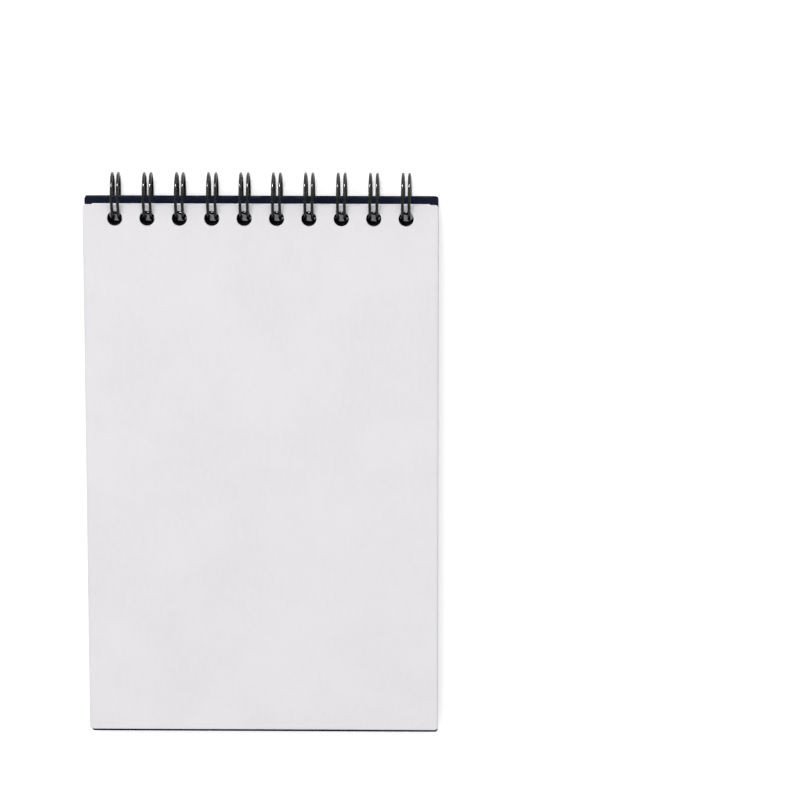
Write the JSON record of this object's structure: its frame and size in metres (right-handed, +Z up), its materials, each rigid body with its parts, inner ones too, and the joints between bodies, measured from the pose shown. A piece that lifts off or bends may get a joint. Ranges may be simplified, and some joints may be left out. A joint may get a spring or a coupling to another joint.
{
  "type": "pocket notebook",
  "caption": "Top-bound pocket notebook with a card front cover, a stiff board back cover and ruled leaves that turn on a twin-loop wire.",
  "frame": {"origin": "under the middle of the closed notebook's bounding box, at the level of the wire loops' undersides", "axes": "+X across the page, +Y from the foot of the page towards the binding, +Z up out of the front cover"},
  "size_m": [0.093, 0.1529, 0.0126],
  "materials": {
    "cover_card": "matte, light warm grey recycled card with fine specks",
    "navy_board": "matte dark navy board",
    "page_paper": "smooth uncoated, faint grey ruling",
    "black_wire": "gloss black nylon-coated steel"
  },
  "bodies": {
    "root": {"back_cover": "navy_board", "twin_loop_wire": "black_wire"},
    "sheet_pack_4": {"sheet_pack_4": "page_paper"},
    "sheet_pack_3": {"sheet_pack_3": "page_paper"},
    "sheet_pack_2": {"sheet_pack_2": "page_paper"},
    "sheet_pack_1": {"sheet_pack_1": "page_paper"},
    "leaf_16": {"leaf_16": "page_paper"},
    "leaf_15": {"leaf_15": "page_paper"},
    "leaf_14": {"leaf_14": "page_paper"},
    "leaf_13": {"leaf_13": "page_paper"},
    "leaf_12": {"leaf_12": "page_paper"},
    "leaf_11": {"leaf_11": "page_paper"},
    "leaf_10": {"leaf_10": "page_paper"},
    "leaf_09": {"leaf_09": "page_paper"},
    "leaf_08": {"leaf_08": "page_paper"},
    "leaf_07": {"leaf_07": "page_paper"},
    "leaf_06": {"leaf_06": "page_paper"},
    "leaf_05": {"leaf_05": "page_paper"},
    "leaf_04": {"leaf_04": "page_paper"},
    "leaf_03": {"leaf_03": "page_paper"},
    "leaf_02": {"leaf_02": "page_paper"},
    "leaf_01": {"leaf_01": "page_paper"},
    "front_cover": {"front_cover": "cover_card"}
  },
  "joints": [
    {"name": "sheet_pack_4_turn", "type": "hinge", "parent": "root", "child": "sheet_pack_4", "pos_m": [0, 0.07007, 0.0064], "axis": [-1, 0, 0], "range_deg": [0, 180]},
    {"name": "sheet_pack_3_turn", "type": "hinge", "parent": "sheet_pack_4", "child": "sheet_pack_3", "pos_m": [0, 0.07007, 0.0064], "axis": [-1, 0, 0], "range_deg": [0, 180]},
    {"name": "sheet_pack_2_turn", "type": "hinge", "parent": "sheet_pack_3", "child": "sheet_pack_2", "pos_m": [0, 0.07007, 0.0064], "axis": [-1, 0, 0], "range_deg": [0, 180]},
    {"name": "sheet_pack_1_turn", "type": "hinge", "parent": "sheet_pack_2", "child": "sheet_pack_1", "pos_m": [0, 0.07007, 0.0064], "axis": [-1, 0, 0], "range_deg": [0, 180]},
    {"name": "leaf_16_turn", "type": "hinge", "parent": "sheet_pack_1", "child": "leaf_16", "pos_m": [0, 0.07007, 0.0064], "axis": [-1, 0, 0], "range_deg": [0, 180]},
    {"name": "leaf_15_turn", "type": "hinge", "parent": "leaf_16", "child": "leaf_15", "pos_m": [0, 0.07007, 0.0064], "axis": [-1, 0, 0], "range_deg": [0, 180]},
    {"name": "leaf_14_turn", "type": "hinge", "parent": "leaf_15", "child": "leaf_14", "pos_m": [0, 0.07007, 0.0064], "axis": [-1, 0, 0], "range_deg": [0, 180]},
    {"name": "leaf_13_turn", "type": "hinge", "parent": "leaf_14", "child": "leaf_13", "pos_m": [0, 0.07007, 0.0064], "axis": [-1, 0, 0], "range_deg": [0, 180]},
    {"name": "leaf_12_turn", "type": "hinge", "parent": "leaf_13", "child": "leaf_12", "pos_m": [0, 0.07007, 0.0064], "axis": [-1, 0, 0], "range_deg": [0, 180]},
    {"name": "leaf_11_turn", "type": "hinge", "parent": "leaf_12", "child": "leaf_11", "pos_m": [0, 0.07007, 0.0064], "axis": [-1, 0, 0], "range_deg": [0, 180]},
    {"name": "leaf_10_turn", "type": "hinge", "parent": "leaf_11", "child": "leaf_10", "pos_m": [0, 0.07007, 0.0064], "axis": [-1, 0, 0], "range_deg": [0, 180]},
    {"name": "leaf_09_turn", "type": "hinge", "parent": "leaf_10", "child": "leaf_09", "pos_m": [0, 0.07007, 0.0064], "axis": [-1, 0, 0], "range_deg": [0, 180]},
    {"name": "leaf_08_turn", "type": "hinge", "parent": "leaf_09", "child": "leaf_08", "pos_m": [0, 0.07007, 0.0064], "axis": [-1, 0, 0], "range_deg": [0, 180]},
    {"name": "leaf_07_turn", "type": "hinge", "parent": "leaf_08", "child": "leaf_07", "pos_m": [0, 0.07007, 0.0064], "axis": [-1, 0, 0], "range_deg": [0, 180]},
    {"name": "leaf_06_turn", "type": "hinge", "parent": "leaf_07", "child": "leaf_06", "pos_m": [0, 0.07007, 0.0064], "axis": [-1, 0, 0], "range_deg": [0, 180]},
    {"name": "leaf_05_turn", "type": "hinge", "parent": "leaf_06", "child": "leaf_05", "pos_m": [0, 0.07007, 0.0064], "axis": [-1, 0, 0], "range_deg": [0, 180]},
    {"name": "leaf_04_turn", "type": "hinge", "parent": "leaf_05", "child": "leaf_04", "pos_m": [0, 0.07007, 0.0064], "axis": [-1, 0, 0], "range_deg": [0, 180]},
    {"name": "leaf_03_turn", "type": "hinge", "parent": "leaf_04", "child": "leaf_03", "pos_m": [0, 0.07007, 0.0064], "axis": [-1, 0, 0], "range_deg": [0, 180]},
    {"name": "leaf_02_turn", "type": "hinge", "parent": "leaf_03", "child": "leaf_02", "pos_m": [0, 0.07007, 0.0064], "axis": [-1, 0, 0], "range_deg": [0, 180]},
    {"name": "leaf_01_turn", "type": "hinge", "parent": "leaf_02", "child": "leaf_01", "pos_m": [0, 0.07007, 0.0064], "axis": [-1, 0, 0], "range_deg": [0, 180]},
    {"name": "front_cover_turn", "type": "hinge", "parent": "leaf_01", "child": "front_cover", "pos_m": [0, 0.07007, 0.0064], "axis": [-1, 0, 0], "range_deg": [0, 180]}
  ]
}
